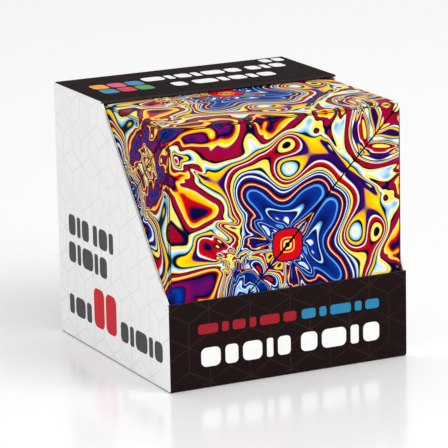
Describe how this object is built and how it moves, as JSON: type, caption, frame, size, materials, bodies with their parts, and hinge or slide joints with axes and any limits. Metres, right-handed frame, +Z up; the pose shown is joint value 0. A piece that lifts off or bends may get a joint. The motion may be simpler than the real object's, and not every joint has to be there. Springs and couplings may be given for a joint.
{
  "type": "magnetic folding puzzle cube",
  "caption": "Folding puzzle cube of hinged magnetic wedges with swirled print, standing in a paperboard display carton cut open at its front top corner.",
  "frame": {"origin": "middle of the carton's underside", "axes": "+Z up, +X to the right seen from the front, front towards -Y"},
  "size_m": [0.062, 0.062, 0.062],
  "materials": {
    "printed_film": "satin printed film with red, yellow, blue and white marbling",
    "wedge_plastic": "moulded black plastic",
    "magnet_nickel": "nickel plated disc magnets",
    "carton_black": "coated paperboard printed warm black",
    "carton_white": "coated paperboard printed white"
  },
  "bodies": {
    "carton": {"carton_base": "carton_black", "carton_back": "carton_black", "carton_front_band": "carton_black", "carton_top_band": "carton_black", "carton_left_side": "carton_white", "carton_right_side": "carton_white"},
    "bottom_front_wedge": {"bottom_front_shell": "wedge_plastic", "bottom_front_cover": "wedge_plastic", "bottom_front_film": "printed_film", "bottom_front_magnets": "magnet_nickel"},
    "left_lower_wedge": {"left_lower_shell": "wedge_plastic", "left_lower_cover": "wedge_plastic", "left_lower_film": "printed_film", "left_lower_magnets": "magnet_nickel"},
    "front_upper_wedge": {"front_upper_shell": "wedge_plastic", "front_upper_cover": "wedge_plastic", "front_upper_film": "printed_film", "front_upper_magnets": "magnet_nickel"},
    "top_front_wedge": {"top_front_shell": "wedge_plastic", "top_front_cover": "wedge_plastic", "top_front_film": "printed_film", "top_front_magnets": "magnet_nickel"},
    "left_upper_wedge": {"left_upper_shell": "wedge_plastic", "left_upper_cover": "wedge_plastic", "left_upper_film": "printed_film", "left_upper_magnets": "magnet_nickel"},
    "back_upper_wedge": {"back_upper_shell": "wedge_plastic", "back_upper_cover": "wedge_plastic", "back_upper_film": "printed_film", "back_upper_magnets": "magnet_nickel"},
    "top_back_wedge": {"top_back_shell": "wedge_plastic", "top_back_cover": "wedge_plastic", "top_back_film": "printed_film", "top_back_magnets": "magnet_nickel"},
    "right_upper_wedge": {"right_upper_shell": "wedge_plastic", "right_upper_cover": "wedge_plastic", "right_upper_film": "printed_film", "right_upper_magnets": "magnet_nickel"},
    "back_lower_wedge": {"back_lower_shell": "wedge_plastic", "back_lower_cover": "wedge_plastic", "back_lower_film": "printed_film", "back_lower_magnets": "magnet_nickel"},
    "front_lower_wedge": {"front_lower_shell": "wedge_plastic", "front_lower_cover": "wedge_plastic", "front_lower_film": "printed_film", "front_lower_magnets": "magnet_nickel"},
    "right_lower_wedge": {"right_lower_shell": "wedge_plastic", "right_lower_cover": "wedge_plastic", "right_lower_film": "printed_film", "right_lower_magnets": "magnet_nickel"},
    "bottom_back_wedge": {"bottom_back_shell": "wedge_plastic", "bottom_back_cover": "wedge_plastic", "bottom_back_film": "printed_film", "bottom_back_magnets": "magnet_nickel"}
  },
  "joints": [
    {"name": "take_out", "type": "slide", "parent": "carton", "child": "bottom_front_wedge", "axis": [0, -1, 0], "range_m": [0, 0.095], "deforming": ["carton_front_band", "carton_top_band", "carton_left_side", "carton_right_side"]},
    {"name": "bottom_left_fold", "type": "hinge", "parent": "bottom_front_wedge", "child": "left_lower_wedge", "pos_m": [-0.0302, 0, 0.00065], "axis": [0, -1, 0], "range_deg": [0, 12]},
    {"name": "front_left_fold", "type": "hinge", "parent": "left_lower_wedge", "child": "front_upper_wedge", "pos_m": [-0.0302, -0.0302, 0.03085], "axis": [0, 0, -1], "range_deg": [0, 12.5]},
    {"name": "top_front_fold", "type": "hinge", "parent": "front_upper_wedge", "child": "top_front_wedge", "pos_m": [0, -0.0302, 0.06105], "axis": [1, 0, 0], "range_deg": [0, 12]},
    {"name": "top_left_fold", "type": "hinge", "parent": "top_front_wedge", "child": "left_upper_wedge", "pos_m": [-0.0302, 0, 0.06105], "axis": [0, 1, 0], "range_deg": [0, 12.5]},
    {"name": "back_left_fold", "type": "hinge", "parent": "left_upper_wedge", "child": "back_upper_wedge", "pos_m": [-0.0302, 0.0302, 0.03085], "axis": [0, 0, 1], "range_deg": [0, 12]},
    {"name": "top_back_fold", "type": "hinge", "parent": "back_upper_wedge", "child": "top_back_wedge", "pos_m": [0, 0.0302, 0.06105], "axis": [-1, 0, 0], "range_deg": [0, 12.5]},
    {"name": "top_right_fold", "type": "hinge", "parent": "top_back_wedge", "child": "right_upper_wedge", "pos_m": [0.0302, 0, 0.06105], "axis": [0, -1, 0], "range_deg": [0, 12]},
    {"name": "back_right_fold", "type": "hinge", "parent": "right_upper_wedge", "child": "back_lower_wedge", "pos_m": [0.0302, 0.0302, 0.03085], "axis": [0, 0, -1], "range_deg": [0, 12.5]},
    {"name": "bottom_front_fold", "type": "hinge", "parent": "bottom_front_wedge", "child": "front_lower_wedge", "pos_m": [0, -0.0302, 0.00065], "axis": [1, 0, 0], "range_deg": [0, 12.5]},
    {"name": "front_right_fold", "type": "hinge", "parent": "front_lower_wedge", "child": "right_lower_wedge", "pos_m": [0.0302, -0.0302, 0.03085], "axis": [0, 0, -1], "range_deg": [0, 12]},
    {"name": "bottom_right_fold", "type": "hinge", "parent": "right_lower_wedge", "child": "bottom_back_wedge", "pos_m": [0.0302, 0, 0.00065], "axis": [0, -1, 0], "range_deg": [0, 12.5]}
  ],
  "couplings": [
    {"joint": "bottom_left_fold", "follows": "take_out", "rad_per_m": 2.2},
    {"joint": "front_left_fold", "follows": "take_out", "rad_per_m": 2.29},
    {"joint": "top_front_fold", "follows": "take_out", "rad_per_m": 2.2},
    {"joint": "top_left_fold", "follows": "take_out", "rad_per_m": 2.29},
    {"joint": "back_left_fold", "follows": "take_out", "rad_per_m": 2.2},
    {"joint": "top_back_fold", "follows": "take_out", "rad_per_m": 2.29},
    {"joint": "top_right_fold", "follows": "take_out", "rad_per_m": 2.2},
    {"joint": "back_right_fold", "follows": "take_out", "rad_per_m": 2.29},
    {"joint": "bottom_front_fold", "follows": "take_out", "rad_per_m": 2.29},
    {"joint": "front_right_fold", "follows": "take_out", "rad_per_m": 2.2},
    {"joint": "bottom_right_fold", "follows": "take_out", "rad_per_m": 2.29}
  ]
}
